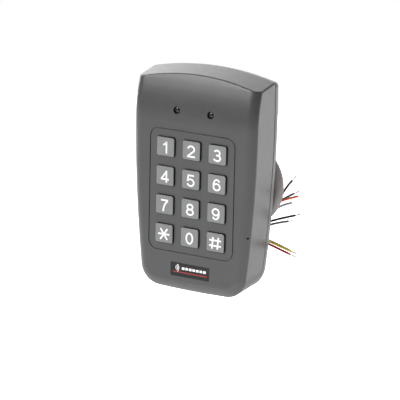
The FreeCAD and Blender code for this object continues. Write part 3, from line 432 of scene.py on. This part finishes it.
# Centre lines of the legends in millimetres about the middle of the legend.
LEGENDS = {
    "0": [bow(0, 0, 1.9, 2.85, 90, 450)],
    "1": [[(0.65, -3.3), (0.65, 3.3)], [(0.65, 2.7)] + bow(-1.6, 3.2, 2.0, 1.75, -15, -85)],
    "2": [bow(-0.05, 1.2, 1.95, 1.65, 172, -38) + [(-1.9, -2.5), (-1.95, -2.85), (2.4, -2.85)]],
    "3": [bow(-0.1, 1.48, 1.65, 1.37, 160, -88), bow(-0.1, -1.32, 2.05, 1.53, 88, -160),
          [(-0.7, 0.14), (0.1, 0.14)]],
    "4": [[(0.95, -3.3), (0.95, 3.3)], [(-2.45, -1.5), (2.45, -1.5)], [(1.0, 2.9), (-2.15, -1.45)]],
    "5": [[(2.05, 2.85), (-1.4, 2.85), (-1.88, 0.0)] + bow(0.0, -1.03, 2.0, 1.82, 148, -162)],
    "6": [bow(0.1, -1.1, 1.95, 1.75, 90, 450), bow(0.15, -0.1, 2.0, 2.95, 36, 200)],
    "7": [[(-2.2, 2.85), (2.15, 2.85)], [(2.0, 2.85)] + bow(4.6, -3.6, 5.3, 7.0, 122, 178)],
    "8": [bow(0, 1.5, 1.65, 1.35, 90, 450), bow(0, -1.38, 1.97, 1.47, 90, 450)],
    "9": [bow(-0.1, 1.1, 1.95, 1.75, 90, 450), bow(-0.15, 0.1, 2.0, 2.95, 216, 380)],
    "star": [[(-3.55, 0), (3.55, 0)], [(-2.2, -3.05), (2.2, 3.05)], [(-2.2, 3.05), (2.2, -3.05)]],
    "hash": [[(-3.6, 1.5), (3.6, 1.5)], [(-3.6, -1.5), (3.6, -1.5)],
             [(-1.95, -3.3), (-1.35, 3.3)], [(1.35, -3.3), (1.95, 3.3)]],
}


def ribbon(points, width):
    """Thin closed strip along a line in the plane of a key's face; its ends may meet."""
    line = [Vector((x, 0, z)) for x, z in points]
    closed = (line[0] - line[-1]).length < 1e-6
    if closed:
        line.pop()
    count = len(line)
    work = bmesh.new()
    rings = []
    for index, point in enumerate(line):
        before = line[index - 1] if closed or index else point
        after = line[(index + 1) % count] if closed or index < count - 1 else point
        arrive, leave = (point - before).normalized(), (after - point).normalized()
        along = (arrive + leave).normalized()
        side = Vector((-along.z, 0, along.x))
        bend = max(0.5, along.dot(leave if leave.length else arrive))
        reach = side * width / 2 / bend
        thick = Vector((0, INK_THICK, 0)) / 2
        corners = (point - reach - thick, point + reach - thick, point + reach + thick, point - reach + thick)
        rings.append([work.verts.new(corner * MM) for corner in corners])
    pairs = list(zip(rings, rings[1:])) + ([(rings[-1], rings[0])] if closed else [])
    for one, other in pairs:
        for step in range(4):
            after = (step + 1) % 4
            work.faces.new((one[step], one[after], other[after], other[step]))
    if not closed:
        work.faces.new(rings[0][::-1])
        work.faces.new(rings[-1])
    bmesh.ops.recalc_face_normals(work, faces=work.faces)
    mesh = bpy.data.meshes.new("stroke")
    work.to_mesh(mesh)
    work.free()
    return mesh


def joined(name, meshes):
    """One mesh from overlapping closed strips."""
    items = [bpy.data.objects.new(name, mesh) for mesh in meshes]
    for item in items:
        scene.collection.objects.link(item)
    for tool in items[1:]:
        union = items[0].modifiers.new("union", "BOOLEAN")
        union.operation = "UNION"
        union.solver = "EXACT"
        union.object = tool
    bpy.context.view_layer.update()
    result = bpy.data.meshes.new_from_object(items[0].evaluated_get(bpy.context.evaluated_depsgraph_get()))
    result.name = name
    for item in items:
        bpy.data.objects.remove(item)
    return result


def add_legends():
    """Printed digits, star and hash on the faces of the key caps."""
    for name in KEYS:
        low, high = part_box(f"key_{name}")
        mesh = joined(f"legend_{name}", [ribbon(stroke, STROKE) for stroke in LEGENDS[name]])
        middle = Vector(((low.x + high.x) / 2, low.y, (low.z + high.z) / 2 - 0.4 * MM))
        mesh.transform(Matrix.Translation(middle))
        piece(f"legend_{name}", mesh, INK, f"key_{name}")


def add_badge_marks():
    """Plain generic marks on the badge: three arcs, a row of white dashes and a thin red bar."""
    low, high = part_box("badge")
    middle = Vector(((low.x + high.x) / 2, low.y, (low.z + high.z) / 2))
    arcs = [ribbon([(x - 9.6, z + 0.9) for x, z in bow(0, 0, radius, radius, -48, 48)], 0.42)
            for radius in (0.9, 1.8, 2.7)]
    arcs += [ribbon([(2.2 * step - 5.0, 0.95), (2.2 * step - 3.3, 0.95)], 1.4) for step in range(7)]
    white = joined("badge_white_mark", arcs)
    red = ribbon([(-10.6, -1.35), (10.6, -1.35)], 0.45)
    for name, mesh, material in (("badge_white_mark", white, INK), ("badge_red_mark", red, RED_INK)):
        mesh.transform(Matrix.Translation(middle))
        piece(name, mesh, material)


def add_lens_domes():
    """Shallow glossy dome on the end of each light guide."""
    for side in ("left", "right"):
        low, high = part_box(f"light_guide_{side}")
        middle = (low + high) / 2
        middle.y = low.y
        radius, rings, sides = 1.86 * MM, 8, 32
        steepest = math.radians(48)
        sphere = radius / math.sin(steepest)
        work = bmesh.new()
        tip = work.verts.new(middle - Vector((0, sphere * (1 - math.cos(steepest)), 0)))
        circles = []
        for ring in range(1, rings + 1):
            slope = steepest * ring / rings
            rise = sphere * (math.cos(slope) - math.cos(steepest))
            reach = sphere * math.sin(slope)
            circles.append([work.verts.new(middle + Vector((reach * math.cos(turn), -rise,
                                                            reach * math.sin(turn))))
                            for turn in (2 * math.pi * step / sides for step in range(sides))])
        for step in range(sides):
            after = (step + 1) % sides
            work.faces.new((tip, circles[0][step], circles[0][after])).smooth = True
            for inner, outer in zip(circles, circles[1:]):
                work.faces.new((inner[step], outer[step], outer[after], inner[after])).smooth = True
        work.faces.new(circles[-1])
        bmesh.ops.recalc_face_normals(work, faces=work.faces)
        mesh = bpy.data.meshes.new(f"lens_dome_{side}")
        work.to_mesh(mesh)
        work.free()
        piece(f"lens_dome_{side}", mesh, GLASS)


add_legends()
add_badge_marks()
add_lens_domes()


# ---------------------------------------------------------------- studio

# Plain light of the room, by direction: bright sweep behind, pale table below, dim elsewhere.
AMBIENT = 0.1
BACKDROP = 2.6
TABLE = 1.75
# Softboxes as (azimuth, elevation, inner and outer half-angle, strength); azimuth 0 is the front.
SOFTBOXES = (
    (-32, 38, 14, 24, 8.2),
)


def blend_over(tree, value, low, high, first, second):
    """Smooth change from one strength to another as a value goes from low to high."""
    node = tree.nodes.new("ShaderNodeMapRange")
    node.interpolation_type = "SMOOTHSTEP"
    node.inputs["From Min"].default_value = low
    node.inputs["From Max"].default_value = high
    node.inputs["To Min"].default_value = first
    node.inputs["To Max"].default_value = second
    tree.links.new(value, node.inputs["Value"])
    return node.outputs["Result"]


def combine(tree, operation, one, other):
    """Arithmetic on two values."""
    node = tree.nodes.new("ShaderNodeMath")
    node.operation = operation
    tree.links.new(one, node.inputs[0])
    tree.links.new(other, node.inputs[1])
    return node.outputs["Value"]


def add_room_light():
    """Light by direction; the camera itself sees plain white."""
    world = bpy.data.worlds.new("studio")
    scene.world = world
    world.use_nodes = True
    tree = world.node_tree
    place = tree.nodes.new("ShaderNodeTexCoord")
    split = tree.nodes.new("ShaderNodeSeparateXYZ")
    tree.links.new(place.outputs["Generated"], split.inputs["Vector"])
    behind = blend_over(tree, split.outputs["Y"], 0.0, 0.4, 0.0, 1.0)
    sweep_top = blend_over(tree, split.outputs["Z"], 0.6, 0.9, 1.0, 0.0)
    sweep_foot = blend_over(tree, split.outputs["Z"], -0.5, -0.3, 0.9, BACKDROP)
    total = combine(tree, "MULTIPLY", behind, combine(tree, "MULTIPLY", sweep_top, sweep_foot))
    gap = combine(tree, "MULTIPLY", blend_over(tree, split.outputs["X"], 0.0, 0.14, 0.0, 1.0),
                  blend_over(tree, split.outputs["Z"], -0.08, 0.12, 0.0, 1.0))
    total = combine(tree, "MULTIPLY", total, blend_over(tree, gap, 0.0, 1.0, 1.0, 0.2))
    ahead = blend_over(tree, split.outputs["Y"], 0.0, 0.4, 1.0, 0.0)
    table = combine(tree, "MULTIPLY", ahead, blend_over(tree, split.outputs["Z"], -0.26, -0.16, TABLE, 0.0))
    total = combine(tree, "ADD", total, table)
    for azimuth, elevation, inner, outer, strength in SOFTBOXES:
        azimuth, elevation = math.radians(azimuth), math.radians(elevation)
        facing = tree.nodes.new("ShaderNodeVectorMath")
        facing.operation = "DOT_PRODUCT"
        facing.inputs[1].default_value = (math.sin(azimuth) * math.cos(elevation),
                                          -math.cos(azimuth) * math.cos(elevation), math.sin(elevation))
        tree.links.new(place.outputs["Generated"], facing.inputs[0])
        box = blend_over(tree, facing.outputs["Value"], math.cos(math.radians(outer)),
                         math.cos(math.radians(inner)), 0.0, strength)
        total = combine(tree, "ADD", total, box)
    lit = tree.nodes.new("ShaderNodeMath")
    lit.operation = "ADD"
    lit.inputs[1].default_value = AMBIENT
    tree.links.new(total, lit.inputs[0])
    glow = tree.nodes["Background"]
    tree.links.new(lit.outputs["Value"], glow.inputs["Strength"])
    glow.inputs["Color"].default_value = (1, 1, 1, 1)
    seen = tree.nodes.new("ShaderNodeBackground")
    seen.inputs["Color"].default_value = (1, 1, 1, 1)
    mix = tree.nodes.new("ShaderNodeMixShader")
    path = tree.nodes.new("ShaderNodeLightPath")
    tree.links.new(path.outputs["Is Camera Ray"], mix.inputs["Fac"])
    tree.links.new(glow.outputs["Background"], mix.inputs[1])
    tree.links.new(seen.outputs["Background"], mix.inputs[2])
    tree.links.new(mix.outputs["Shader"], tree.nodes["World Output"].inputs["Surface"])


def add_floor():
    """Plain pale floor well below the wall-mounted object."""
    mesh = bpy.data.meshes.new("floor")
    side, below = 6.0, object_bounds()[0][2] - 1.5
    corners = [(-side, -side, below), (side, -side, below), (side, side, below), (-side, side, below)]
    mesh.from_pydata(corners, [], [(0, 1, 2, 3)])
    floor = bpy.data.objects.new("floor", mesh)
    scene.collection.objects.link(floor)
    material, tree, principled = shader("floor_paper", 0.9)
    principled.inputs["Base Color"].default_value = (0.9, 0.9, 0.9, 1)
    principled.inputs["Emission Color"].default_value = (1, 1, 1, 1)
    principled.inputs["Emission Strength"].default_value = 1.0
    mesh.materials.append(material)
    floor.visible_diffuse = False
    floor.visible_glossy = False


def add_studio():
    add_room_light()
    add_floor()
    scene.view_settings.view_transform = "Standard"


add_studio()
